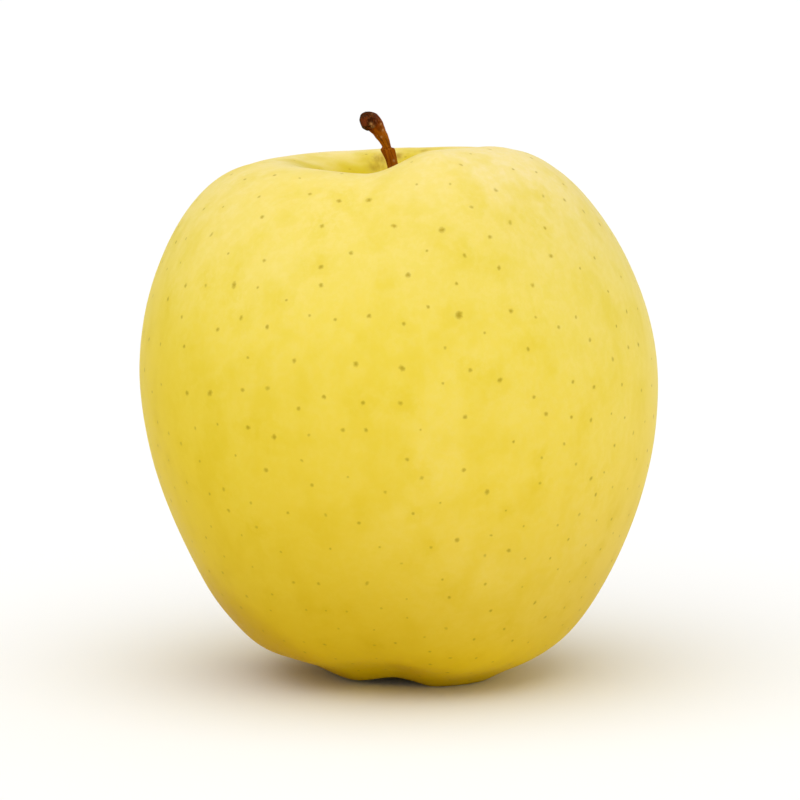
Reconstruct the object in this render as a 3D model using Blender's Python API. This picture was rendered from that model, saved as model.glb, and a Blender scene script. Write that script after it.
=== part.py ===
"""A whole yellow apple: the fruit, its curved stem and the dried calyx in the hollow under it.

Lengths are in millimetres and angles in degrees until a mesh is made. An azimuth is measured
round the apple's axis, from the front (-Y) towards the right (+X). Heights are measured from
the base of the profile, and the whole apple is set down on the ground plane at the end.
"""

import math

import bmesh
import bpy
from mathutils import Vector

MM = 0.001

# Profile of the skin: the radius and height of the points that pull one smooth curve, from the
# mouth of the stem's socket, over the shoulder and down the cheek, to the middle of the basin.
CAVITY = ((1.6, 67.0), (3.0, 68.6), (6.5, 72.0), (10.5, 76.5))
SHOULDER = ((14.4, 79.4), (21.6, 79.2), (28.5, 74.8), (35.0, 65.4))
CHEEK = ((39.8, 50.1), (38.7, 33.7), (32.2, 16.1), (24.8, 4.4))
BASE = ((17.0, 2.2), (10.9, -1.6), (9.6, 0.7))
BASIN = ((4.0, 8.6), (1.5, 9.4))
PROFILE = CAVITY + SHOULDER + CHEEK + BASE + BASIN
RINGS = 48
SEGMENTS = 80

# Ribs and furrows: how far the ribs stand out, and how much the shoulder and the foot rise at
# each rib and at the furrow after it.
RIBS = 5
RIB_AZIMUTH = 24.0
RIB_AT_CHEEK = 0.45
RIB_AT_SHOULDER = 0.15
RIB_AT_FOOT = 0.30
SHOULDER_RISE = (1.5, 1.4, -0.2, -0.3, -0.8, -1.2, -1.6, -1.4, -1.5, -1.9)
FOOT_RISE = (0.2, 0.0, 1.0, 1.6, 0.0, 1.6, 0.0, 0.8, 0.9, 1.9)

# Where the shoulder's and the foot's shape fades in, by height and by radius.
SHOULDER_HEIGHTS = (42.0, 78.0)
SHOULDER_RADII = (1.0, 14.0)
FOOT_HEIGHTS = (26.0, 2.0)
FOOT_RADII = (2.0, 11.0)
RIB_RADII = (2.0, 14.0)

# The axis leans to the left above the middle, and to the right below it.
LEAN = math.tan(math.radians(2.0))
LEAN_HEIGHT = 42.0

# The socket that the stem's root stands in, and the small flats that the lobes stand on.
SOCKET_RADIUS = 1.5
SOCKET_FLOOR = 63.5
BASIN_MIDDLE = 9.5
FLAT_DEPTH = 0.5

# The stem: sideways, towards the front and height of the points that pull its centre line, and
# its radius at fractions of its length, with the step of the collar and the knob at its end.
STEM_LINE = (
    (-0.8, 0.0, 63.9), (-0.7, 0.0, 68.0), (-0.4, 0.0, 72.0), (-0.3, 0.0, 75.6), (-0.8, 0.0, 78.0),
    (-1.6, 0.1, 80.1), (-2.5, 0.3, 81.9), (-3.3, 0.6, 83.3), (-4.1, 1.2, 83.9), (-4.7, 1.9, 83.8),
)
STEM_RADII = (
    (0.0, 0.95), (0.06, 1.10), (0.25, 0.88), (0.43, 0.80), (0.525, 1.0), (0.54, 0.62),
    (0.656, 0.94), (0.778, 1.24), (0.87, 1.40), (0.93, 1.46), (0.975, 1.36), (1.0, 1.0),
)
STEM_STEPS = 44
STEM_ROUNDNESS = 4

# The calyx: a shallow cup of dried sepals, by radius and height, with a lobe for each sepal.
CALYX_PROFILE = ((1.3, 8.85), (2.4, 8.4), (3.7, 7.1), (4.5, 5.2), (3.9, 4.7), (2.6, 6.3), (1.2, 7.4))
CALYX_TOP = 8.9
CALYX_FLOOR = 7.6
CALYX_LOBE = 0.22
CALYX_SEGMENTS = 40

SKIN_YELLOW = (0.85, 0.66, 0.09, 1.0)
STEM_BROWN = (0.20, 0.07, 0.02, 1.0)
CALYX_BROWN = (0.16, 0.10, 0.05, 1.0)


def ramp(value, start, end):
    """A smooth step from 0 at the start to 1 at the end."""
    share = min(max((value - start) / (end - start), 0.0), 1.0)
    return share * share * (3 - 2 * share)


def spline_point(controls, share):
    """A point at a share of a uniform cubic B-spline that starts and ends on its end controls."""
    points = [Vector(point) for point in controls]
    points.insert(0, 2 * points[0] - points[1])
    points.append(2 * points[-1] - points[-2])
    place = share * (len(points) - 3)
    first = min(int(place), len(points) - 4)
    t = place - first
    weights = ((1 - t) ** 3, 3 * t**3 - 6 * t**2 + 4, -3 * t**3 + 3 * t**2 + 3 * t + 1, t**3)
    return sum((points[first + i] * w for i, w in enumerate(weights)), 0 * points[0]) / 6


def value_along(stops, share):
    """The value at a share of the length, eased between (share, value) stops."""
    for (start, low), (end, high) in zip(stops, stops[1:]):
        if share <= end:
            return low + (high - low) * ramp(share, start, end)
    return stops[-1][1]


def value_round(stops, azimuth):
    """The value at an azimuth, eased between the stops at each rib and at the furrow after it."""
    place = (azimuth - RIB_AZIMUTH) / 180 * RIBS % len(stops)
    stop = int(place)
    low, high = stops[stop], stops[(stop + 1) % len(stops)]
    return low + (high - low) * ramp(place, stop, stop + 1)


def around(radius, height, azimuth):
    """The point at this radius from the leaning axis."""
    turn = math.radians(azimuth)
    lean = LEAN * (height - LEAN_HEIGHT)
    return Vector((radius * math.sin(turn) - lean, -radius * math.cos(turn), height))


def skin_point(radius, height, azimuth):
    """A point of the profile turned to its azimuth, with the ribs, shoulders and feet there."""
    shoulder = ramp(height, *SHOULDER_HEIGHTS) * ramp(radius, *SHOULDER_RADII)
    foot = ramp(height, *FOOT_HEIGHTS) * ramp(radius, *FOOT_RADII)
    rib = RIB_AT_CHEEK
    rib += (RIB_AT_SHOULDER - RIB_AT_CHEEK) * shoulder
    rib += (RIB_AT_FOOT - RIB_AT_CHEEK) * foot
    wave = math.cos(math.radians(RIBS * (azimuth - RIB_AZIMUTH)))
    radius += rib * wave * ramp(radius, *RIB_RADII)
    height += shoulder * value_round(SHOULDER_RISE, azimuth)
    height += foot * value_round(FOOT_RISE, azimuth)
    return around(radius, height, azimuth)


def turned_mesh(name, first_pole, rings, last_pole):
    """A closed mesh of rings from one pole to the other, outside facing out for a path that
    starts on top and comes down round the outside."""
    shape = bmesh.new()
    loops = [[shape.verts.new(point * MM) for point in ring] for ring in rings]
    top = shape.verts.new(first_pole * MM)
    bottom = shape.verts.new(last_pole * MM)
    count = len(rings[0])
    for i in range(count):
        j = (i + 1) % count
        shape.faces.new((top, loops[0][i], loops[0][j]))
        for upper, lower in zip(loops, loops[1:]):
            shape.faces.new((upper[i], lower[i], lower[j], upper[j]))
        shape.faces.new((bottom, loops[-1][j], loops[-1][i]))
    mesh = bpy.data.meshes.new(name)
    shape.to_mesh(mesh)
    shape.free()
    mesh.shade_smooth()
    return mesh


def azimuths(count):
    return [360 * i / count for i in range(count)]


def material(name, colour, roughness):
    made = bpy.data.materials.new(name)
    made.use_nodes = True
    shader = made.node_tree.nodes["Principled BSDF"]
    shader.inputs["Base Color"].default_value = colour
    shader.inputs["Roughness"].default_value = roughness
    shader.inputs["Metallic"].default_value = 0.0
    return made


def add_piece(name, data, look, parent):
    piece = bpy.data.objects.new(name, data)
    bpy.context.scene.collection.objects.link(piece)
    data.materials.append(look)
    piece.parent = parent
    return piece


def skin_rings():
    """The rings of the skin, from the floor of the socket to the middle of the basin."""
    turns = azimuths(SEGMENTS)
    rings = [[around(SOCKET_RADIUS, SOCKET_FLOOR, turn) for turn in turns]]
    for step in range(RINGS):
        radius, height = spline_point(PROFILE, step / (RINGS - 1))
        rings.append([skin_point(radius, height, turn) for turn in turns])
    return rings


def box_of(rings):
    """The lowest and highest corner of all the points."""
    points = [point for ring in rings for point in ring]
    low = Vector([min(point[i] for point in points) for i in range(3)])
    high = Vector([max(point[i] for point in points) for i in range(3)])
    return low, high


def make_apple(rings, ground, parent):
    """The fruit, one solid, with the underside of its lobes cut flat where it stands."""
    for ring in rings:
        for point in ring:
            point.z = max(point.z, ground)
    first_pole = around(0, SOCKET_FLOOR, 0)
    last_pole = around(0, BASIN_MIDDLE, 0)
    mesh = turned_mesh("apple", first_pole, rings, last_pole)
    return add_piece("apple", mesh, material("skin", SKIN_YELLOW, 0.35), parent)


def make_stem(parent):
    """The stem: a tube of changing radius along its bent centre line."""
    curve = bpy.data.curves.new("stem", "CURVE")
    curve.dimensions = "3D"
    curve.bevel_depth = MM
    curve.bevel_resolution = STEM_ROUNDNESS
    curve.use_fill_caps = True
    spline = curve.splines.new("POLY")
    spline.points.add(STEM_STEPS - 1)
    for step, point in enumerate(spline.points):
        share = step / (STEM_STEPS - 1)
        across, forward, height = spline_point(STEM_LINE, share) * MM
        point.co = (across, -forward, height, 1.0)
        point.radius = value_along(STEM_RADII, share)
    return add_piece("stem", curve, material("stem", STEM_BROWN, 0.6), parent)


def make_calyx(parent):
    """The dried sepals, as one shallow cup with a lobe for each, just clear of the basin."""
    rings = []
    for radius, height in CALYX_PROFILE:
        lobe = CALYX_LOBE * ramp(radius, CALYX_PROFILE[0][0], CALYX_PROFILE[3][0])
        ring = []
        for turn in azimuths(CALYX_SEGMENTS):
            wave = math.cos(math.radians(RIBS * (turn - RIB_AZIMUTH)))
            ring.append(around(radius * (1 - lobe + lobe * wave), height, turn))
        rings.append(ring)
    mesh = turned_mesh("calyx", around(0, CALYX_TOP, 0), rings, around(0, CALYX_FLOOR, 0))
    return add_piece("calyx", mesh, material("calyx", CALYX_BROWN, 0.8), parent)


def main():
    for old in list(bpy.data.objects):
        bpy.data.objects.remove(old)
    rings = skin_rings()
    low, high = box_of(rings)
    ground = low.z + FLAT_DEPTH
    base = bpy.data.objects.new("apple_base", None)
    bpy.context.scene.collection.objects.link(base)
    base.location = Vector((-(low.x + high.x) / 2, -(low.y + high.y) / 2, -ground)) * MM
    make_apple(rings, ground, base)
    make_stem(base)
    make_calyx(base)


main()
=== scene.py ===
"""The looks of a whole yellow apple: its waxy dotted skin, its stem and its dried calyx.

Shapes are worked out in millimetres and degrees, as in the solids that they replace, and become
metres when a mesh is made. An azimuth is measured round the apple from the front (-Y) towards
the right (+X). Colours are written as they look on a screen, from 0 to 255.
"""

import math

import bpy
import numpy as np
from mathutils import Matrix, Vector, kdtree, noise
from mathutils.bvhtree import BVHTree


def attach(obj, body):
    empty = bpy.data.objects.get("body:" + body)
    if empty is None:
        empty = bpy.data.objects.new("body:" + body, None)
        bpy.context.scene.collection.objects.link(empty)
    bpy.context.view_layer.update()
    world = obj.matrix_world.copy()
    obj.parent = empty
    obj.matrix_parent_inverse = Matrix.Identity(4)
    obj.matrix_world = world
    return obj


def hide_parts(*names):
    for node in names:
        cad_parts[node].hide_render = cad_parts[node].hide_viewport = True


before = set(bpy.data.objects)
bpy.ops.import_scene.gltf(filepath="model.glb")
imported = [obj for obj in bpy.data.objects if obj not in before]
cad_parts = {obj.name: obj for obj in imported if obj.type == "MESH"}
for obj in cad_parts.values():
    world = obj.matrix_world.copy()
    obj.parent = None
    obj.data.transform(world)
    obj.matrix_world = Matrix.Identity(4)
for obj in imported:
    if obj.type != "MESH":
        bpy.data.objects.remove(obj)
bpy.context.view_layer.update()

MM = 0.001
SEED = 7

# The skin's profile, ribs, shoulders and feet, as in the solid.
CAVITY = ((1.6, 67.0), (3.0, 68.6), (6.5, 72.0), (10.5, 76.5))
SHOULDER = ((14.4, 79.4), (21.6, 79.2), (28.5, 74.8), (35.0, 65.4))
CHEEK = ((39.8, 50.1), (38.7, 33.7), (32.2, 16.1), (24.8, 4.4))
BASE = ((17.0, 2.2), (10.9, -1.6), (9.6, 0.7))
BASIN = ((4.0, 8.6), (1.5, 9.4))
PROFILE = CAVITY + SHOULDER + CHEEK + BASE + BASIN
RIBS = 5
RIB_AZIMUTH = 24.0
RIB_AT_CHEEK = 0.45
RIB_AT_SHOULDER = 0.15
RIB_AT_FOOT = 0.30
SHOULDER_RISE = (1.5, 1.4, -0.2, -0.3, -0.8, -1.2, -1.6, -1.4, -1.5, -1.9)
FOOT_RISE = (0.2, 0.0, 1.0, 1.6, 0.0, 1.6, 0.0, 0.8, 0.9, 1.9)
SHOULDER_HEIGHTS = (42.0, 78.0)
SHOULDER_RADII = (1.0, 14.0)
FOOT_HEIGHTS = (26.0, 2.0)
FOOT_RADII = (2.0, 11.0)
RIB_RADII = (2.0, 14.0)
LEAN = math.tan(math.radians(2.0))
LEAN_HEIGHT = 42.0
SOCKET_RADIUS = 1.5
SOCKET_FLOOR = 63.5
BASIN_MIDDLE = 9.5
FLAT_DEPTH = 0.5
RINGS = 250
SEGMENTS = 360
CURVE_STEPS = 4000

# Low unevenness of the skin: width and height of its swellings, and the radii where it fades in.
SWELLING_WIDTH = 11.0
SWELLING_HEIGHT = 0.12
SWELLING_RADII = (3.0, 12.0)

# Swellings and dents that show in the outline: the azimuth, profile radius and profile height of
# the middle of each, how far it stands out, and its width.
SEEN_SWELLINGS = (
    (58.0, 18.6, 2.5, 0.25, 5.0), (58.5, 13.0, -0.1, 0.34, 5.0), (7.0, 11.5, -0.6, -0.25, 5.0),
    (339.0, 11.5, -0.6, 0.28, 5.0), (300.5, 16.4, 1.5, -0.55, 5.0), (292.5, 23.1, 4.7, 0.25, 5.0),
    (281.0, 29.3, 11.9, 0.18, 5.0), (92.0, 30.0, 72.3, -0.40, 11.0), (267.0, 28.5, 74.0, 0.22, 9.0),
    (259.0, 21.2, 78.6, -0.24, 4.0), (106.0, 21.0, 78.7, 0.32, 6.0), (154.0, 18.1, 79.1, 0.12, 4.0),
    (14.0, 16.5, 79.2, -0.20, 5.0), (30.0, 18.0, 79.2, 0.17, 6.0),
)

# The photograph's camera, in the row frame.
FRAME_PIXELS = 800
FOCAL_PIXELS = 4305
SENSOR_WIDTH = 36.0
CAMERA_TARGET = Vector((0.17, -0.20, 41.70)) * MM
CAMERA_DISTANCE = 0.650
CAMERA_ELEVATION = math.radians(8.0)
CLIP_START = 0.02
CLIP_END = 20.0

# The dots that show best from the front: their pixel in the photograph, and their radius in
# millimetres.
SEEN_DOTS = (
    (459, 315, 0.56), (442, 230, 0.48), (369, 200, 0.46), (408, 275, 0.40), (490, 237, 0.36),
    (545, 228, 0.30), (511, 311, 0.36), (500, 380, 0.38), (356, 364, 0.40), (234, 285, 0.42),
    (321, 285, 0.36), (262, 217, 0.34), (322, 226, 0.36), (394, 226, 0.34), (351, 253, 0.34),
    (310, 194, 0.32), (465, 417, 0.34), (546, 414, 0.34), (591, 420, 0.32), (274, 437, 0.38),
    (487, 492, 0.36), (321, 267, 0.36), (369, 316, 0.34), (404, 324, 0.32), (528, 349, 0.30),
    (402, 368, 0.40), (534, 397, 0.30), (324, 397, 0.34), (363, 403, 0.34), (343, 430, 0.34),
    (366, 430, 0.30), (187, 393, 0.40), (210, 393, 0.42), (266, 470, 0.36), (312, 485, 0.30),
    (551, 256, 0.34), (590, 340, 0.30), (594, 387, 0.32), (457, 540, 0.36), (359, 523, 0.28),
)

# The brown patches in the hollow beside the stem: their pixel and their radius. The first three are
# russet; the last two paint the thin line of shade under the front lip.
SEEN_RUSSET_AND_SHADE = ((379, 159, 1.7), (377, 167, 1.3), (398, 156, 1.0), (412, 153, 0.8), (425, 151, 0.8))

# The pale spots on the knob and the shaft of the stem: their pixel and their radius. Those along the
# shaft's right edge are a painted highlight, and the two on the knob are a pale patch that is partly
# a painted highlight.
SEEN_PALE_AND_HIGHLIGHT = (
    (371, 124, 0.26), (373.5, 127, 0.26), (381, 124, 0.18), (383, 130, 0.20), (381.5, 137, 0.16),
    (394, 160.5, 0.20),
)


def ramp(value, start, end):
    """A smooth step from 0 at the start to 1 at the end."""
    share = np.clip((value - start) / (end - start), 0.0, 1.0)
    return share * share * (3 - 2 * share)


def spline_points(controls, shares):
    """Points at shares of a uniform cubic B-spline that starts and ends on its end controls."""
    points = np.array(controls, float)
    points = np.vstack([2 * points[0] - points[1], points, 2 * points[-1] - points[-2]])
    place = np.asarray(shares) * (len(points) - 3)
    first = np.minimum(place.astype(int), len(points) - 4)
    t = (place - first)[:, None]
    weights = ((1 - t) ** 3, 3 * t**3 - 6 * t**2 + 4, -3 * t**3 + 3 * t**2 + 3 * t + 1, t**3)
    return sum(points[first + i] * weight for i, weight in enumerate(weights)) / 6


def evenly_along(controls, count):
    """Points of the same curve at even distances along it."""
    fine = np.linspace(0, 1, CURVE_STEPS)
    steps = np.linalg.norm(np.diff(spline_points(controls, fine), axis=0), axis=1)
    length = np.concatenate([[0], np.cumsum(steps)])
    shares = np.interp(np.linspace(0, length[-1], count), length, fine)
    return spline_points(controls, shares)


def ramp_down(value, end):
    """A straight fall from 1 at nought to 0 at the end."""
    return np.clip(1 - value / end, 0.0, 1.0)


def value_along(stops, shares):
    """The value at shares of the length, eased between (share, value) stops."""
    value = np.full(np.shape(shares), stops[0][1], float)
    for (start, low), (end, high) in zip(stops, stops[1:]):
        value += (high - low) * ramp(shares, start, end)
    return value


def value_round(stops, azimuth):
    """The value at an azimuth, eased between the stops at each rib and at the furrow after it."""
    stops = np.array(stops)
    place = (azimuth - RIB_AZIMUTH) / 180 * RIBS % len(stops)
    stop = place.astype(int) % len(stops)
    low, high = stops[stop], stops[(stop + 1) % len(stops)]
    return low + (high - low) * ramp(place - stop, 0, 1)


def around(radius, height, azimuth):
    """The point at this radius from the leaning axis."""
    turn = np.radians(azimuth)
    lean = LEAN * (height - LEAN_HEIGHT)
    return np.stack([radius * np.sin(turn) - lean, -radius * np.cos(turn), height + 0 * turn], -1)


def skin_points(radius, height, azimuth):
    """Points of the profile turned to their azimuth, with the ribs, shoulders and feet there."""
    shoulder = ramp(height, *SHOULDER_HEIGHTS) * ramp(radius, *SHOULDER_RADII)
    foot = ramp(height, *FOOT_HEIGHTS) * ramp(radius, *FOOT_RADII)
    rib = RIB_AT_CHEEK
    rib = rib + (RIB_AT_SHOULDER - RIB_AT_CHEEK) * shoulder
    rib = rib + (RIB_AT_FOOT - RIB_AT_CHEEK) * foot
    wave = np.cos(np.radians(RIBS * (azimuth - RIB_AZIMUTH)))
    radius = radius + rib * wave * ramp(radius, *RIB_RADII)
    height = height + shoulder * value_round(SHOULDER_RISE, azimuth)
    height = height + foot * value_round(FOOT_RISE, azimuth)
    return around(radius, height, azimuth)


def noise_at(points, width):
    """Smooth noise from about -1 to 1 at each point, for features of that width."""
    flat = points.reshape(-1, 3) / width
    values = [noise.noise(Vector(point)) for point in flat.tolist()]
    return np.array(values).reshape(points.shape[:-1])


def turned_mesh(name, first_pole, rings, last_pole):
    """A closed mesh of rings, given as an array, from one pole to the other."""
    ring_count, count = rings.shape[:2]
    points = np.vstack([rings.reshape(-1, 3), [first_pole, last_pole]]) * MM
    here = np.arange(count)
    after = (here + 1) % count
    start = np.arange(ring_count - 1)[:, None] * count
    below = start + count
    quads = np.stack([start + here, below + here, below + after, start + after], -1)
    top, bottom = ring_count * count, ring_count * count + 1
    last = (ring_count - 1) * count
    faces = quads.reshape(-1, 4).tolist()
    faces += [[top, int(i), int(j)] for i, j in zip(here, after)]
    faces += [[bottom, last + int(j), last + int(i)] for i, j in zip(here, after)]
    mesh = bpy.data.meshes.new(name)
    mesh.from_pydata(points.tolist(), [], faces)
    mesh.shade_smooth()
    return mesh


def set_attribute(mesh, name, kind, domain, values):
    """Stores one value for each point or corner."""
    attribute = mesh.attributes.new(name, kind, domain)
    slot = "value" if kind == "FLOAT" else "vector"
    attribute.data.foreach_set(slot, np.ascontiguousarray(values, np.float32).ravel())


def add_object(name, data):
    """A new object in the scene."""
    made = bpy.data.objects.new(name, data)
    bpy.context.scene.collection.objects.link(made)
    return made


def add_piece(name, mesh, material, node):
    """A piece of the scene that stands for a node of the frame."""
    piece = add_object(name, mesh)
    mesh.materials.append(material)
    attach(piece, "root")
    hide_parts(node)


# Materials

def linear(red, green, blue):
    """A colour as it looks on a screen, from 0 to 255, as light, by the usual screen curve."""
    shown = [value / 255 for value in (red, green, blue)]
    return tuple(v / 12.92 if v < 0.0404 else ((v + 0.055) / 1.055) ** 2.4 for v in shown)


class Graph:
    """A material's nodes, made one call at a time. Widths and depths are in millimetres."""

    # The colour sockets of a Mix node, by their place.
    MIX_COLOURS = (6, 7)
    MIX_RESULT = 2

    def __init__(self, name):
        self.material = bpy.data.materials.new(name)
        self.material.use_nodes = True
        self.tree = self.material.node_tree
        self.shader = self.tree.nodes["Principled BSDF"]

    def add(self, kind, settings=None, **inputs):
        """A node with its settings and its inputs, an underscore standing for a space."""
        made = self.tree.nodes.new("ShaderNode" + kind)
        for name, value in (settings or {}).items():
            setattr(made, name, value)
        for name, value in inputs.items():
            self.put(made.inputs[name.replace("_", " ")], value)
        return made

    def put(self, socket, value):
        """Links another node's output to the socket, or sets the socket's own value."""
        if isinstance(value, bpy.types.NodeSocket):
            self.tree.links.new(value, socket)
        elif isinstance(value, tuple) and len(value) == 3 and socket.type == "RGBA":
            socket.default_value = (*value, 1.0)
        else:
            socket.default_value = value

    def set(self, **inputs):
        """Sets inputs of the surface shader."""
        for name, value in inputs.items():
            self.put(self.shader.inputs[name.replace("_", " ")], value)

    def attribute(self, name, output="Fac"):
        """What is stored on the mesh under this name."""
        return self.add("Attribute", {"attribute_name": name}).outputs[output]

    def place(self):
        """The point of the surface, in the object's own frame."""
        return self.add("TexCoord").outputs["Object"]

    def facing(self, direction):
        """How far the surface faces this way, from -1 to 1."""
        made = self.add("VectorMath", {"operation": "DOT_PRODUCT"})
        self.put(made.inputs[0], self.add("TexCoord").outputs["Normal"])
        made.inputs[1].default_value = direction
        return made.outputs["Value"]

    def noise(self, vector, width, detail=2.0, roughness=0.5, distortion=0.0):
        """Smooth noise from 0 to 1, for features of that width."""
        made = self.add(
            "TexNoise", Vector=vector, Scale=1 / (width * MM), Detail=detail,
            Roughness=roughness, Distortion=distortion,
        )
        return made.outputs["Fac"]

    def step(self, value, start, end, low=0.0, high=1.0):
        """A smooth step of the value, from low at the start to high at the end."""
        made = self.add("MapRange", {"interpolation_type": "SMOOTHSTEP"})
        limits = {"From Min": start, "From Max": end, "To Min": low, "To Max": high}
        for name, number in limits.items():
            made.inputs[name].default_value = number
        self.put(made.inputs["Value"], value)
        return made.outputs["Result"]

    def math(self, operation, first, second=0.0):
        """The result of one sum, product or comparison."""
        made = self.add("Math", {"operation": operation})
        self.put(made.inputs[0], first)
        self.put(made.inputs[1], second)
        return made.outputs[0]

    def mix(self, share, first, second, blend="MIX"):
        """The first colour with a share of the second, or of its product with it."""
        made = self.add("Mix", {"data_type": "RGBA", "blend_type": blend})
        self.put(made.inputs["Factor"], share)
        for socket, colour in zip(self.MIX_COLOURS, (first, second)):
            self.put(made.inputs[socket], colour)
        return made.outputs[self.MIX_RESULT]

    def tint(self, share, colour, tint):
        """The colour multiplied by a share of the tint."""
        return self.mix(share, colour, tint, "MULTIPLY")

    def ramp(self, share, stops):
        """A colour that changes smoothly between (share, colour) stops."""
        made = self.add("ValToRGB", Fac=share)
        made.color_ramp.interpolation = "B_SPLINE"
        elements = made.color_ramp.elements
        while len(elements) < len(stops):
            elements.new(0.5)
        for element, (position, colour) in zip(elements, stops):
            element.position = position
            element.color = (*colour, 1.0)
        return made.outputs["Color"]

    def bump(self, height, strength, depth, normal=None):
        """A normal that shows this height as fine relief."""
        made = self.add("Bump", Strength=strength, Distance=depth * MM, Height=height)
        if normal:
            self.put(made.inputs["Normal"], normal)
        return made.outputs["Normal"]


# The skin's colour at shares of its height, golden below and paler above. It holds painted light: the
# lowest stops are painted brighter against the shade near the floor, and the blue of the upper stops,
# most at the top, is partly a painted sheen.
SKIN_BY_HEIGHT = (
    (0.0, linear(255, 218, 2)), (0.05, linear(238, 202, 2)), (0.12, linear(226, 192, 44)),
    (0.25, linear(233, 202, 66)), (0.45, linear(246, 217, 77)), (0.75, linear(240, 217, 83)),
    (1.0, linear(236, 214, 118)),
)
SKIN_TOP = 80.0

# The skin's tints, the sides that they are on, and the colours laid over them. The tint on the sides
# facing lower left and down is painted shade, the tint on the sides facing up and right is a painted
# sheen, and the tint in the stem's hollow is partly painted shade.
CREAM_TINT = (1.025, 1.045, 1.5)
DEEP_TINT = (0.95, 0.93, 0.55)
HOLLOW_SHADE_TINT = (0.81, 0.775, 0.16)
LOWER_LEFT_SHADE_TINT = (0.89, 0.86, 0.28)
SHADED_TINT = (0.86, 0.79, 0.45)
UPPER_RIGHT_SHEEN_TINT = (1.0, 1.02, 1.5)
LOWER_LEFT_SIDE = (-0.70, -0.25, -0.60)
SHADED_SIDE = (-0.55, -0.20, -0.80)
BASIN_TINT = (0.90, 0.96, 0.80)
RUSSET_AND_SHADE_BROWN = linear(150, 108, 16)
DOT_OLIVE = linear(166, 136, 2)

# The skin's patterns: their width, and where they need it, their detail and roughness. The broad
# pattern and the blotches are taller than wide.
BROAD = (17.0,)
BLOTCH = (6.0, 2.5, 0.55)
GRAIN = (1.3, 3.0, 0.65)
STREAK = (1.6, 4.0, 0.65)
RAGGED = (0.35,)
WAVY = (3.5,)
FINE = (0.45, 3.0, 0.6)
TALL_SCALE = (1.0, 1.0, 0.70)

# The strength and depth of the skin's fine relief.
WAVY_RELIEF = (0.10, 0.25)
FINE_RELIEF = (0.08, 0.05)

# Each step's start and end, and what it gives at each, where that isn't 0 and 1.
LOWER_LEFT_SHADE_STEP = (0.20, 0.95)
SHADED_STEP = (0.86, 0.95)
UPPER_RIGHT_SHEEN_STEP = (-0.35, -0.9)
BROAD_STEP = (0.42, 0.72, 0.0, 0.6)
BLOTCH_STEP = (0.43, 0.71, 0.0, 0.70)
GRAIN_STEP = (0.35, 0.72, 0.0, 0.60)
HOLLOW_SHADE_EDGE = (0.3, 0.7, -0.08, 0.08)
HOLLOW_SHADE_STEP = (0.08, 0.55)
BASIN_STEP = (0.2, 0.7)
RUSSET_IN_HOLLOW = (0.44, 0.72)
RUSSET_IN_BASIN = (0.45, 0.85)
RUSSET_STREAKS = (0.42, 0.64)
RUSSET_AND_SHADE_PATCHES = (0.30, 0.60)
RUSSET_AND_SHADE_STRENGTH = 0.8
DOT_EDGE = (0.2, 0.8, -0.22, 0.22)
DOT_OUTER = (1.3, 0.5, 0.0, 0.7)
DOT_INNER = (0.8, 0.1, 0.0, 0.4)
HALO_EDGE = (0.2, 0.8, -2.5, 2.5)
HALO_STEP = (9.0, 1.0)
SKIN_ROUGHNESS = (0.3, 0.7, 0.42, 0.50)


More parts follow.
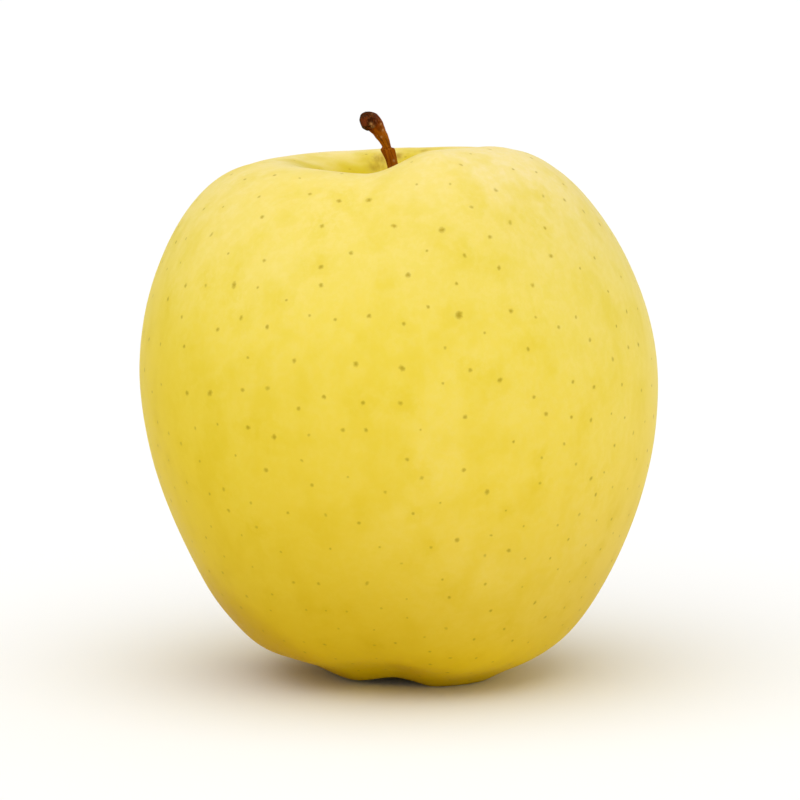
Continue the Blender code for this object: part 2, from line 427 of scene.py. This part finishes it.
def skin_material():
    """Waxy yellow skin: paler above, golden below, softly mottled, with olive dots and painted light
    and shade.
    """
    g = Graph("skin")
    place = g.place()
    height = g.add("SeparateXYZ", Vector=place).outputs["Z"]
    # The colour by height, with its painted light at the foot and its painted sheen at the top.
    colour = g.ramp(g.math("DIVIDE", height, SKIN_TOP * MM), SKIN_BY_HEIGHT)
    # Painted shade on the sides that face lower left, and more on those that face down and left.
    towards_left = g.facing(LOWER_LEFT_SIDE)
    colour = g.tint(g.step(towards_left, *LOWER_LEFT_SHADE_STEP), colour, LOWER_LEFT_SHADE_TINT)
    colour = g.tint(g.step(g.facing(SHADED_SIDE), *SHADED_STEP), colour, SHADED_TINT)
    # A painted sheen, paler and bluer, on the sides that face up and to the right, opposite the
    # painted shade.
    colour = g.tint(g.step(towards_left, *UPPER_RIGHT_SHEEN_STEP), colour, UPPER_RIGHT_SHEEN_TINT)

    upright = g.add("VectorMath", {"operation": "MULTIPLY"}, Vector=place)
    upright.inputs[1].default_value = TALL_SCALE
    tall_place = upright.outputs["Vector"]
    broad = g.noise(tall_place, *BROAD)
    colour = g.tint(g.step(broad, *BROAD_STEP), colour, CREAM_TINT)
    blotch = g.noise(tall_place, *BLOTCH)
    colour = g.tint(g.step(blotch, *BLOTCH_STEP), colour, DEEP_TINT)
    grain = g.noise(place, *GRAIN)
    colour = g.tint(g.step(grain, *GRAIN_STEP), colour, CREAM_TINT)

    hollow = g.attribute("hollow")
    # Painted shade in the stem's hollow, darker and deeper yellow, with a ragged start; the deeper
    # yellow-green is partly the hollow's own colour.
    depth = g.math("ADD", hollow, g.step(blotch, *HOLLOW_SHADE_EDGE))
    colour = g.tint(g.step(depth, *HOLLOW_SHADE_STEP), colour, HOLLOW_SHADE_TINT)
    basin = g.attribute("basin")
    colour = g.tint(g.step(basin, *BASIN_STEP), colour, BASIN_TINT)
    streak = g.noise(g.attribute("streak", "Vector"), *STREAK)
    near_ends = g.math("ADD", g.step(hollow, *RUSSET_IN_HOLLOW), g.step(basin, *RUSSET_IN_BASIN))
    russet_and_shade = g.math("MULTIPLY", g.step(streak, *RUSSET_STREAKS), near_ends)
    # Brown patches: russet, and a painted line of shade under the front lip.
    patches = g.math("MULTIPLY", g.step(streak, *RUSSET_AND_SHADE_PATCHES), g.attribute("russet_and_shade"))
    russet_and_shade = g.math("MULTIPLY", g.math("MAXIMUM", russet_and_shade, patches), RUSSET_AND_SHADE_STRENGTH)
    colour = g.mix(russet_and_shade, colour, RUSSET_AND_SHADE_BROWN)

    ragged = g.noise(place, *RAGGED)
    offset = g.add("VectorMath", {"operation": "LENGTH"}, Vector=g.attribute("dot", "Vector"))
    offset = offset.outputs["Value"]
    reach = g.math("ADD", offset, g.step(ragged, *DOT_EDGE))
    spread = g.math("ADD", offset, g.step(grain, *HALO_EDGE))
    halo = g.math("MULTIPLY", g.step(spread, *HALO_STEP), g.attribute("halo"))
    colour = g.tint(halo, colour, DEEP_TINT)
    dot = g.math("ADD", g.step(reach, *DOT_OUTER), g.step(reach, *DOT_INNER))
    colour = g.mix(g.math("MULTIPLY", dot, g.attribute("tone")), colour, DOT_OLIVE)

    g.set(Base_Color=colour, Roughness=g.step(grain, *SKIN_ROUGHNESS))
    g.set(Specular_IOR_Level=0.05, Subsurface_Weight=0.10, Subsurface_Scale=0.0015)
    g.shader.inputs["Subsurface Radius"].default_value = (1.0, 0.6, 0.15)
    fine = g.bump(g.noise(place, *FINE), *FINE_RELIEF)
    g.set(Normal=g.bump(g.noise(place, *WAVY), *WAVY_RELIEF, fine))
    return g.material


# The stem's colours: at shares of its length, then of its fibres, knob and scar, the painted shade at
# the knob's rim, and its pale spots and painted highlights.
STEM_BY_LENGTH = (
    (0.0, linear(84, 52, 10)), (0.42, linear(150, 78, 0)), (0.52, linear(152, 78, 0)),
    (0.57, linear(170, 98, 2)), (0.68, linear(160, 86, 0)), (0.80, linear(120, 50, 2)),
    (0.92, linear(62, 24, 0)),
)
FIBRE_LIGHT = linear(196, 122, 10)
FIBRE_DARK = linear(62, 26, 0)
KNOB_RED = linear(136, 62, 14)
SCAR_RED = linear(130, 56, 20)
KNOB_SHADE_BROWN = linear(44, 28, 4)
PALE_AND_HIGHLIGHT_TAN = linear(204, 156, 104)
SPECK_PALE = linear(204, 148, 88)

# The side that the knob's lighter face looks to, its edges turned away from it being painted in
# shade, and the stem's patterns and relief.
KNOB_FRONT = (0.10, -1.0, 0.0)
FIBRE = (0.30, 4.0, 0.6)
MOTTLE = (0.45, 3.0, 0.65)
SPECK = (0.30,)
ROUGH = (0.2, 3.0)
FIBRE_RELIEF = (0.5, 0.12)
ROUGH_RELIEF = (0.3, 0.05)

# The stem's steps, as for the skin.
WOODY_STEP = (0.92, 0.74, 0.25, 1.0)
LIGHT_STEP = (0.48, 0.70, 0.0, 0.45)
DARK_STEP = (0.48, 0.32, 0.0, 0.6)
KNOB_STEP = (0.84, 0.93)
MOTTLE_STEP = (0.42, 0.62, 0.0, 0.5)
SCAR_STEP = (0.15, 0.75, 0.0, 0.7)
TURNED_AWAY_STEP = (0.80, 0.30, 0.0, 0.8)
KNOB_SHADE_STEP = (0.86, 0.96)
SPOT_STEP = (0.3, 0.6, 0.35, 0.75)
SPECK_STEP = (0.68, 0.76, 0.0, 0.7)
STEM_ROUGHNESS = (0.3, 0.7, 0.70, 0.50)


def stem_material():
    """Dry brown wood: amber along the shaft, darker and redder at the knob, with fibres and painted
    light.
    """
    g = Graph("stem")
    place = g.place()
    along = g.attribute("along")
    fibre = g.noise(g.attribute("fibre", "Vector"), *FIBRE)
    colour = g.ramp(along, STEM_BY_LENGTH)
    woody = g.step(along, *WOODY_STEP)
    light = g.math("MULTIPLY", g.step(fibre, *LIGHT_STEP), woody)
    colour = g.mix(light, colour, FIBRE_LIGHT)
    dark = g.math("MULTIPLY", g.step(fibre, *DARK_STEP), woody)
    colour = g.mix(dark, colour, FIBRE_DARK)
    mottle = g.noise(place, *MOTTLE)
    mottled = g.math("MULTIPLY", g.step(mottle, *MOTTLE_STEP), g.step(along, *KNOB_STEP))
    colour = g.mix(mottled, colour, KNOB_RED)
    colour = g.mix(g.step(g.attribute("scar"), *SCAR_STEP), colour, SCAR_RED)
    # Painted shade on the knob's edges that turn away from the front.
    turned_away = g.step(g.facing(KNOB_FRONT), *TURNED_AWAY_STEP)
    rim = g.math("MULTIPLY", g.step(along, *KNOB_SHADE_STEP), turned_away)
    colour = g.mix(rim, colour, KNOB_SHADE_BROWN)
    # Pale patches and painted highlights on the knob and along the shaft's right edge.
    pale = g.math("MULTIPLY", g.attribute("pale"), g.step(mottle, *SPOT_STEP))
    colour = g.mix(pale, colour, PALE_AND_HIGHLIGHT_TAN)
    speck = g.noise(place, *SPECK)
    colour = g.mix(g.step(speck, *SPECK_STEP), colour, SPECK_PALE)
    g.set(Base_Color=colour, Roughness=g.step(fibre, *STEM_ROUGHNESS))
    g.set(Specular_IOR_Level=0.06)
    rough = g.bump(g.noise(place, *ROUGH), *ROUGH_RELIEF)
    g.set(Normal=g.bump(fibre, *FIBRE_RELIEF, rough))
    return g.material


# The dried sepals: their colours, and the patterns, steps and relief of their veins and fuzz.
SEPAL_BROWN = linear(80, 62, 34)
SEPAL_TAN = linear(150, 126, 78)
SEPAL_FUZZ = linear(190, 180, 142)
VEIN = (0.7, 4.0, 0.6, 0.5)
FUZZ = (0.22, 3.0, 0.6)
VEIN_STEP = (0.35, 0.70)
FUZZ_STEP = (0.55, 0.75, 0.0, 0.5)
VEIN_RELIEF = (0.5, 0.1)


def calyx_material():
    """Dry papery brown, veined with tan, under a pale fuzz."""
    g = Graph("calyx")
    place = g.place()
    vein = g.noise(place, *VEIN)
    colour = g.mix(g.step(vein, *VEIN_STEP), SEPAL_BROWN, SEPAL_TAN)
    fuzz = g.noise(place, *FUZZ)
    colour = g.mix(g.step(fuzz, *FUZZ_STEP), colour, SEPAL_FUZZ)
    g.set(Base_Color=colour, Roughness=0.85)
    g.set(Specular_IOR_Level=0.25, Sheen_Weight=0.3)
    g.set(Normal=g.bump(vein, *VEIN_RELIEF))
    return g.material


# The camera

def make_camera():
    """The photograph's camera, set in the scene."""
    back = Vector((0, -math.cos(CAMERA_ELEVATION), math.sin(CAMERA_ELEVATION)))
    data = bpy.data.cameras.new("camera")
    data.sensor_width = SENSOR_WIDTH
    data.lens = FOCAL_PIXELS / FRAME_PIXELS * SENSOR_WIDTH
    data.clip_start = CLIP_START
    data.clip_end = CLIP_END
    camera = add_object("camera", data)
    camera.location = CAMERA_TARGET + back * CAMERA_DISTANCE
    camera.rotation_euler = (math.pi / 2 - CAMERA_ELEVATION, 0, 0)
    bpy.context.scene.camera = camera
    return camera


def seen_at(tree, camera, across, down):
    """The point in millimetres that a pixel of the photograph shows on the surface."""
    half = FRAME_PIXELS / 2
    ray = Vector((across - half, half - down, -FOCAL_PIXELS))
    ray.rotate(camera.rotation_euler)
    return tree.ray_cast(camera.location, ray.normalized())[0] / MM


# The skin

# The dots: how far apart they stand and what share of their size they have, at two heights.
DOT_HEIGHTS = (14.0, 62.0)
DOT_SPACING = (3.6, 5.2)
DOT_SPACING_SPREAD = (0.75, 1.35)
DOT_SIZES = (0.85, 1.0)
DOT_TRIES = 9000

# The smallest and largest dot, how much rarer large ones are, and how far one is drawn out.
DOT_RADII = (0.21, 0.37)
DOT_RARITY = 1.4
DOT_STRETCH = 0.35

# A dot's tone, how much it gains for each millimetre of radius, and its random part.
DOT_TONE = 0.43
DOT_TONE_RISE = 0.5
DOT_TONE_SPREAD = (0.75, 1.1)

# The share of the dots that have a deeper yellow halo, and its strength.
HALO_SHARE = 0.4
HALO_STRENGTHS = (0.2, 0.6)

# No dots nearer to the axis than the first, then how far the tints of the two hollows reach; the tint
# of the stem's hollow is partly painted shade.
DOTLESS_RADIUS = 9.0
HOLLOW_RADIUS = 20.0
BASIN_RADIUS = 13.0

# The brown streaks have their named width at this radius, and are four times as long as wide.
STREAK_RADIUS = 6.0
STREAK_STRETCH = 0.25


def place_dots(tree, camera, rings, draws):
    """The dots: those seen in the photograph where they are, and others by a rule round them."""
    dots = []
    for across, down, radius in SEEN_DOTS:
        tone = DOT_TONE + DOT_TONE_RISE * radius
        dots.append((seen_at(tree, camera, across, down), radius, tone))
    ring_radius = np.hypot(rings[..., 0], rings[..., 1]).mean(axis=1)
    weights = ring_radius / ring_radius.sum()
    choices = draws.choice(len(rings), DOT_TRIES, p=weights)
    smallest, largest = DOT_RADII
    for ring, turn in zip(choices, draws.integers(0, SEGMENTS, DOT_TRIES)):
        spot = Vector(rings[ring, turn])
        size = draws.uniform()
        spacing = np.interp(spot.z, DOT_HEIGHTS, DOT_SPACING) * draws.uniform(*DOT_SPACING_SPREAD)
        if ring_radius[ring] < DOTLESS_RADIUS:
            continue
        if all((spot - other).length > spacing for other, _, _ in dots):
            radius = smallest + (largest - smallest) * size**DOT_RARITY
            radius *= np.interp(spot.z, DOT_HEIGHTS, DOT_SIZES)
            tone = (DOT_TONE + DOT_TONE_RISE * radius) * draws.uniform(*DOT_TONE_SPREAD)
            dots.append((spot, radius, tone))
    return dots


def points_of(mesh):
    """The mesh's points in millimetres."""
    points = np.empty(len(mesh.vertices) * 3, np.float32)
    mesh.vertices.foreach_get("co", points)
    return points.reshape(-1, 3) / MM


def tree_of(mesh):
    """The mesh's surface, ready to be searched by a ray."""
    return BVHTree.FromPolygons([v.co for v in mesh.vertices], [p.vertices for p in mesh.polygons])


def mark_patches(mesh, tree, camera, name, patches):
    """Stores how much of the patches seen in the photograph there is at each point."""
    points = points_of(mesh)
    share = np.zeros(len(points))
    for across, down, size in patches:
        away = np.linalg.norm(points - np.array(seen_at(tree, camera, across, down)), axis=1)
        share = np.maximum(share, np.exp(-((away / size) ** 2)))
    set_attribute(mesh, name, "FLOAT", "POINT", share)


def mark_dots(mesh, dots, draws):
    """Stores at each corner the way to it from the nearest dot, counted in that dot's radii, and
    that dot's tone and halo."""
    tree = kdtree.KDTree(len(dots))
    for i, (spot, _, _) in enumerate(dots):
        tree.insert(spot, i)
    tree.balance()
    centres = np.array([list(spot) for spot, _, _ in dots])
    radii = np.array([radius for _, radius, _ in dots])
    tones = np.array([tone for _, _, tone in dots])
    has_halo = draws.uniform(size=len(dots)) < HALO_SHARE
    halos = np.where(has_halo, draws.uniform(*HALO_STRENGTHS, len(dots)), 0.0)
    stretch = draws.normal(size=(len(dots), 3))
    stretch /= np.linalg.norm(stretch, axis=1)[:, None]
    amount = draws.uniform(0, DOT_STRETCH, len(dots))[:, None]

    points = points_of(mesh)
    corner_points = np.empty(len(mesh.loops), np.int32)
    mesh.loops.foreach_get("vertex_index", corner_points)
    sides = np.empty(len(mesh.polygons), np.int32)
    mesh.polygons.foreach_get("loop_total", sides)
    middles = np.empty(len(mesh.polygons) * 3, np.float32)
    mesh.polygons.foreach_get("center", middles)
    nearest = np.array([tree.find(middle)[1] for middle in (middles.reshape(-1, 3) / MM).tolist()])
    own = np.repeat(nearest, sides)
    offset = (points[corner_points] - centres[own]) / radii[own][:, None]
    along = (offset * stretch[own]).sum(axis=1)[:, None]
    offset -= along * stretch[own] * amount[own]
    set_attribute(mesh, "dot", "FLOAT_VECTOR", "CORNER", offset)
    set_attribute(mesh, "tone", "FLOAT", "CORNER", tones[own])
    set_attribute(mesh, "halo", "FLOAT", "CORNER", halos[own])


def swellings(rings, radius):
    """How far the skin stands out at each point, at random and as seen in the outline."""
    rise = noise_at(rings, SWELLING_WIDTH) * SWELLING_HEIGHT * ramp(radius, *SWELLING_RADII)
    for turn, middle_radius, middle_height, height, width in SEEN_SWELLINGS:
        middle = skin_points(middle_radius, middle_height, np.float64(turn))
        away = np.linalg.norm(rings - middle, axis=2)
        rise = rise + height * np.exp(-((away / width) ** 2))
    return rise


def mark_hollows(mesh, radius, height, azimuth):
    """Stores how near each point is to the stem's hollow and to the basin, and the place of its
    streaks, which run towards the axis."""
    radii = np.concatenate([[[SOCKET_RADIUS]], radius]) + 0 * azimuth
    above = np.concatenate([[[True]], height > LEAN_HEIGHT])
    hollow = above * ramp_down(radii, HOLLOW_RADIUS)
    basin = ~above * ramp_down(radii, BASIN_RADIUS)
    set_attribute(mesh, "hollow", "FLOAT", "POINT", np.append(hollow.ravel(), [1.0, 0.0]))
    set_attribute(mesh, "basin", "FLOAT", "POINT", np.append(basin.ravel(), [0.0, 1.0]))
    turn = np.radians(azimuth) + 0 * radii
    streak = np.stack([np.sin(turn), np.cos(turn), STREAK_STRETCH * radii / STREAK_RADIUS], -1)
    streak = np.vstack([streak.reshape(-1, 3) * STREAK_RADIUS * MM, np.zeros((2, 3))])
    set_attribute(mesh, "streak", "FLOAT_VECTOR", "POINT", streak)


def make_skin(camera):
    """The fruit's outside, in one closed mesh, set down where the solid stands. Returns the move
    that sets it down."""
    draws = np.random.default_rng(SEED)
    profile = evenly_along(PROFILE, RINGS)
    azimuth = np.linspace(0, 360, SEGMENTS, endpoint=False)[None]
    radius, height = profile[:, :1], profile[:, 1:]
    rings = skin_points(radius, height, azimuth)
    low = rings.reshape(-1, 3).min(axis=0)
    high = rings.reshape(-1, 3).max(axis=0)
    ground = low[2] + FLAT_DEPTH
    shift = np.array([-(low[0] + high[0]) / 2, -(low[1] + high[1]) / 2, -ground])

    outwards = rings - [0, 0, LEAN_HEIGHT]
    outwards /= np.linalg.norm(outwards, axis=2)[..., None]
    rings = rings + outwards * swellings(rings, radius)[..., None]
    floor = around(SOCKET_RADIUS, SOCKET_FLOOR, azimuth)
    rings = np.concatenate([floor, rings]) + shift
    rings[..., 2] = np.maximum(rings[..., 2], 0.0)
    first_pole = around(0.0, SOCKET_FLOOR, 0.0) + shift
    last_pole = around(0.0, BASIN_MIDDLE, 0.0) + shift
    mesh = turned_mesh("skin", first_pole, rings, last_pole)

    mark_hollows(mesh, radius, height, azimuth)
    tree = tree_of(mesh)
    mark_dots(mesh, place_dots(tree, camera, rings, draws), draws)
    mark_patches(mesh, tree, camera, "russet_and_shade", SEEN_RUSSET_AND_SHADE)
    add_piece("apple_skin", mesh, skin_material(), "apple")
    return shift


# The stem

# Its centre line and its radius at shares of its length, as in the solid.
STEM_LINE = (
    (-0.8, 0.0, 63.9), (-0.7, 0.0, 68.0), (-0.4, 0.0, 72.0), (-0.3, 0.0, 75.6), (-0.8, 0.0, 78.0),
    (-1.6, 0.1, 80.1), (-2.5, 0.3, 81.9), (-3.3, 0.6, 83.3), (-4.1, 1.2, 83.9), (-4.7, 1.9, 83.8),
)
STEM_RADII = (
    (0.0, 0.95), (0.06, 1.10), (0.25, 0.88), (0.43, 0.80), (0.525, 1.0), (0.54, 0.62),
    (0.656, 0.94), (0.778, 1.24), (0.87, 1.40), (0.93, 1.46), (0.975, 1.36), (1.0, 1.0),
)
STEM_RINGS = 300
STEM_SIDES = 64

# The collar: where it starts, stands highest and ends, how much less it stands out at the front
# and the back, how ragged and tilted its edge is, and where the tilt fades in and out.
COLLAR = (0.44, 0.525, 0.545)
COLLAR_DIP = 0.30
COLLAR_RAGGED = 0.006
COLLAR_TILT = 0.014
TILT_STARTS = (0.3, 0.5)
TILT_ENDS = (0.75, 0.6)

# Waves of the collar's edge, the fibres and the bends: height, number round the stem, and in
# radians the twist along it and the start.
COLLAR_WAVES = ((1.0, 3, 0, 0.6), (0.6, 7, 0, 2.0))
FIBRE_WAVES = ((0.030, 7, 5, math.pi / 2), (0.022, 12, -7, math.pi / 2 + 1.0))
BEND_WAVES = ((0.030, 2, 17, 0.0), (0.020, 3, -29, 0.0))

# Where the waves fade towards the knob, what is left of them there, and the fine roughness.
FIBRES_FADE = (0.93, 0.80)
FIBRES_AT_KNOB = 0.3
ROUGHNESS_WIDTH = 0.5
ROUGHNESS_HEIGHT = 0.018

# The scar at the end of the knob.
SCAR_RINGS = 10
SCAR_DEPTH = 0.16
SCAR_BRIM = 0.55
SCAR_EDGE = (0.85, 0.30)

# The stem's length in the fibres' pattern. It is shorter than the real one, so they are drawn out.
FIBRE_PATTERN_LENGTH = 2.6


def tube_frames(line):
    """Two directions across the line at each point, without twist, and the one along it."""
    forward = np.gradient(line, axis=0)
    forward /= np.linalg.norm(forward, axis=1)[:, None]
    right = np.cross([0.0, 1.0, 0.0], forward)
    for step in range(1, len(line)):
        right[step] = right[step - 1] - forward[step] * np.dot(right[step - 1], forward[step])
    right /= np.linalg.norm(right, axis=1)[:, None]
    return right, np.cross(forward, right), forward


def waves(table, turn, share):
    """The sum of a table's waves at each place round and along the stem."""
    return sum(
        height * np.sin(count * turn + twist * share + start) for height, count, twist, start in table
    )


def make_stem(camera, shift):
    """A woody stem with lengthwise fibres, a ragged collar and a round scar at its end."""
    shares = np.linspace(0, 1, STEM_RINGS)
    line = spline_points(STEM_LINE, shares) * [1, -1, 1]
    right, back, forward = tube_frames(line)
    turn = np.linspace(0, 2 * np.pi, STEM_SIDES, endpoint=False)[None]
    share = shares[:, None]
    ragged = share + COLLAR_RAGGED * waves(COLLAR_WAVES, turn, share)
    tilt = COLLAR_TILT * ramp(share, *TILT_STARTS) * ramp(share, *TILT_ENDS)
    radius = value_along(STEM_RADII, ragged + tilt * np.cos(turn))
    start, top, end = COLLAR
    collar = ramp(share, start, top) * ramp(share, end, top)
    radius = radius - COLLAR_DIP * collar * np.sin(turn) ** 2
    woody = FIBRES_AT_KNOB + (1 - FIBRES_AT_KNOB) * ramp(share, *FIBRES_FADE)
    radius = radius * (1 + waves(FIBRE_WAVES + BEND_WAVES, turn, share) * woody)
    spokes = np.cos(turn)[..., None] * right[:, None] + np.sin(turn)[..., None] * back[:, None]
    points = line[:, None] + radius[..., None] * spokes

    # The scar: rings that close in over the end, with a round brim and a hollow middle.
    inwards = np.linspace(1, 0, SCAR_RINGS + 1)[1:-1, None]
    brim = SCAR_BRIM * np.sqrt(np.clip(1 - inwards**2, 0, 1))
    hollow = SCAR_DEPTH * ramp(inwards, *SCAR_EDGE)
    spokes = points[-1][None] - line[-1]
    scar = line[-1] + inwards[..., None] * spokes + (brim - hollow)[..., None] * forward[-1]
    rings = np.concatenate([points, scar])
    rings += noise_at(rings, ROUGHNESS_WIDTH)[..., None] * ROUGHNESS_HEIGHT
    first_pole = line[0] + shift
    last_pole = line[-1] + forward[-1] * (SCAR_BRIM - SCAR_DEPTH) + shift
    rings = (rings + shift)[:, ::-1]
    mesh = turned_mesh("stem", first_pole, rings, last_pole)

    whole = np.concatenate([shares, np.ones(SCAR_RINGS - 1)])[:, None] + 0 * turn
    set_attribute(mesh, "along", "FLOAT", "POINT", np.append(whole.ravel(), [0.0, 1.0]))
    in_scar = np.concatenate([np.zeros((STEM_RINGS, 1)), 1 - inwards]) + 0 * turn
    set_attribute(mesh, "scar", "FLOAT", "POINT", np.append(in_scar.ravel(), [0.0, 1.0]))
    turned = turn[:, ::-1] + 0 * whole
    fibre = np.stack([np.sin(turned), np.cos(turned), FIBRE_PATTERN_LENGTH * whole], -1)
    fibre = np.vstack([fibre.reshape(-1, 3) * MM, np.zeros((2, 3))])
    set_attribute(mesh, "fibre", "FLOAT_VECTOR", "POINT", fibre)
    mark_patches(mesh, tree_of(mesh), camera, "pale", SEEN_PALE_AND_HIGHLIGHT)
    add_piece("woody_stem", mesh, stem_material(), "stem")


# The calyx

# The sepals: the line that each follows out of the basin by radius and height, and its width.
SEPALS = 5
SEPAL_LINE = ((1.2, 8.6), (2.2, 8.3), (3.4, 7.2), (4.3, 5.6), (4.2, 4.6), (3.4, 4.4))
SEPAL_WIDTHS = ((0.0, 1.4), (0.35, 1.8), (0.75, 1.0), (1.0, 0.06))
SEPAL_THICKNESS = 0.22
SEPAL_STEPS = 16
SEPAL_HALF_COLUMNS = 4
SEPAL_LEAST_RADIUS = 1.2

# The fold and the crumples of a sepal: how deep, where the fold fades in, and how many crumples
# there are across and along it.
FOLD_DEPTH = 0.35
FOLD_SHARES = (0.1, 0.5)
CRUMPLE_HEIGHT = 0.12
CRUMPLES = (5, 9)

# The random part of each sepal's width, reach, twist and azimuth.
WIDTH_SPREAD = (0.85, 1.1)
REACH_SPREAD = (0.9, 1.03)
TWIST_SPREAD = (-14, 14)
SEPAL_TURN_SPREAD = (-6, 6)

# The threads: their top, their radius at shares of their length, and their random parts.
STAMENS = 14
STAMEN_STEPS = 8
STAMEN_SIDES = 6
STAMEN_TOP = 8.7
STAMEN_RADII = ((0.0, 0.10), (0.8, 0.07), (0.9, 0.15), (1.0, 0.08))
STAMEN_TURN_SPREAD = (-9, 9)
STAMEN_PLACES = (0.5, 1.2)
STAMEN_LENGTHS = (1.6, 2.8)
STAMEN_BENDS = (-0.5, 0.9)


def sepal_sheet(azimuth, draws):
    """The points of one dried sepal's sheet, folded along its middle and curled at its tip."""
    shares = np.linspace(0, 1, SEPAL_STEPS)
    line = spline_points(SEPAL_LINE, shares)
    width = value_along(SEPAL_WIDTHS, shares)[:, None] * draws.uniform(*WIDTH_SPREAD)
    side = np.linspace(-1, 1, 2 * SEPAL_HALF_COLUMNS + 1)[None]
    radius = line[:, :1] * draws.uniform(*REACH_SPREAD) + 0 * side
    height = line[:, 1:] - FOLD_DEPTH * np.abs(side) * ramp(shares, *FOLD_SHARES)[:, None]

    # The azimuth starts the crumples of each sepal at another place.
    across, along = CRUMPLES
    crumple = np.sin(across * side + along * shares[:, None] + azimuth)
    height = height + CRUMPLE_HEIGHT * crumple
    twist = draws.uniform(*TWIST_SPREAD) * shares[:, None] ** 2
    half_turn = np.degrees(side * width / np.maximum(radius, SEPAL_LEAST_RADIUS))
    return around(radius, height, azimuth + twist + half_turn)


def sheet_solid(sheet, thickness):
    """Both faces of a sheet and its edges: the points and faces of one closed shape."""
    across_rows = np.gradient(sheet, axis=0)
    across_columns = np.gradient(sheet, axis=1)
    normal = np.cross(across_rows, across_columns)
    normal /= np.maximum(np.linalg.norm(normal, axis=2), 1e-9)[..., None]
    rows, columns = sheet.shape[:2]
    points = np.concatenate([sheet + normal * thickness / 2, sheet - normal * thickness / 2])
    index = np.arange(rows * columns).reshape(rows, columns)
    below = rows * columns
    faces = []
    for i in range(rows - 1):
        for j in range(columns - 1):
            corners = (index[i, j], index[i + 1, j], index[i + 1, j + 1], index[i, j + 1])
            faces.append([int(corner) for corner in corners])
            faces.append([int(corner) + below for corner in reversed(corners)])
    rim = [*index[0, :-1], *index[:-1, -1], *index[-1, :0:-1], *index[:0:-1, 0]]
    rim = [int(corner) for corner in rim]
    for here, after in zip(rim, rim[1:] + rim[:1]):
        faces.append([here, after, after + below, here + below])
    return points.reshape(-1, 3), faces


def stamen(azimuth, radius, length, draws):
    """A thin dried thread from the basin's middle, with a small swollen end."""
    shares = np.linspace(0, 1, STAMEN_STEPS)
    bend = draws.uniform(*STAMEN_BENDS)
    heights = STAMEN_TOP - length * shares
    line = around(radius + bend * shares**2, heights, np.full(STAMEN_STEPS, azimuth))
    thickness = value_along(STAMEN_RADII, shares)
    turn = np.linspace(0, 2 * np.pi, STAMEN_SIDES, endpoint=False)
    ring = np.stack([np.cos(turn), np.sin(turn), 0 * turn], -1)
    points = (line[:, None] + thickness[:, None, None] * ring).reshape(-1, 3)
    faces = [list(range(STAMEN_SIDES))]
    for step in range(STAMEN_STEPS - 1):
        for side in range(STAMEN_SIDES):
            after = (side + 1) % STAMEN_SIDES
            here, below = step * STAMEN_SIDES, (step + 1) * STAMEN_SIDES
            faces.append([here + side, below + side, below + after, here + after])
    last = (STAMEN_STEPS - 1) * STAMEN_SIDES
    faces.append([last + side for side in reversed(range(STAMEN_SIDES))])
    return points, faces


def make_calyx(shift):
    """The dried sepals and the threads between them, in the hollow under the apple."""
    draws = np.random.default_rng(SEED + 1)
    shapes = []
    for sepal in range(SEPALS):
        azimuth = RIB_AZIMUTH + 360 / SEPALS * sepal + draws.uniform(*SEPAL_TURN_SPREAD)
        shapes.append(sheet_solid(sepal_sheet(azimuth, draws), SEPAL_THICKNESS))
    for thread in range(STAMENS):
        azimuth = 360 / STAMENS * thread + draws.uniform(*STAMEN_TURN_SPREAD)
        radius = draws.uniform(*STAMEN_PLACES)
        length = draws.uniform(*STAMEN_LENGTHS)
        shapes.append(stamen(azimuth, radius, length, draws))
    all_points, all_faces, count = [], [], 0
    for points, faces in shapes:
        all_points.append(points)
        all_faces += [[corner + count for corner in face] for face in faces]
        count += len(points)
    mesh = bpy.data.meshes.new("calyx")
    mesh.from_pydata(((np.vstack(all_points) + shift) * MM).tolist(), [], all_faces)
    mesh.shade_smooth()
    add_piece("dried_calyx", mesh, calyx_material(), "calyx")


# The floor and the light

# The floor's side in metres and its grey, the sky's strength at both sides, and the sun.
FLOOR_SIZE = 12.0
FLOOR_GREY = 244
SKY_AT_LEFT = 0.44
SKY_AT_RIGHT = 0.76
SUN_AZIMUTH = -30.0
SUN_ELEVATION = 72.0
SUN_STRENGTH = 1.77
SUN_SPREAD = 80.0


def make_stage():
    """A plain pale floor."""
    half = FLOOR_SIZE / 2
    mesh = bpy.data.meshes.new("floor")
    corners = [(-half, -half, 0), (half, -half, 0), (half, half, 0), (-half, half, 0)]
    mesh.from_pydata(corners, [], [(0, 1, 2, 3)])
    g = Graph("floor")
    grey = linear(FLOOR_GREY, FLOOR_GREY, FLOOR_GREY)
    g.set(Base_Color=grey, Roughness=0.9, Specular_IOR_Level=0.1)
    mesh.materials.append(g.material)
    floor = add_object("floor", mesh)


def make_light():
    """A pale sky all round, brighter at the right, and a wide soft light from above."""
    world = bpy.data.worlds.new("sky")
    world.use_nodes = True
    nodes, links = world.node_tree.nodes, world.node_tree.links
    direction = nodes.new("ShaderNodeTexCoord").outputs["Generated"]
    across = nodes.new("ShaderNodeSeparateXYZ")
    links.new(direction, across.inputs["Vector"])
    strength = nodes.new("ShaderNodeMapRange")
    strength.inputs["From Min"].default_value = -1
    strength.inputs["To Min"].default_value = SKY_AT_LEFT
    strength.inputs["To Max"].default_value = SKY_AT_RIGHT
    links.new(across.outputs["X"], strength.inputs["Value"])
    nodes["Background"].inputs["Color"].default_value = (1, 1, 1, 1)
    links.new(strength.outputs["Result"], nodes["Background"].inputs["Strength"])
    bpy.context.scene.world = world
    data = bpy.data.lights.new("sun", "SUN")
    data.energy = SUN_STRENGTH
    data.angle = math.radians(SUN_SPREAD)
    sun = add_object("sun", data)
    sun.rotation_euler = (math.radians(90 - SUN_ELEVATION), 0, math.radians(SUN_AZIMUTH))


camera = make_camera()
make_stage()
make_light()
shift = make_skin(camera)
make_stem(camera, shift)
make_calyx(shift)
bpy.context.scene.view_settings.view_transform = "Standard"
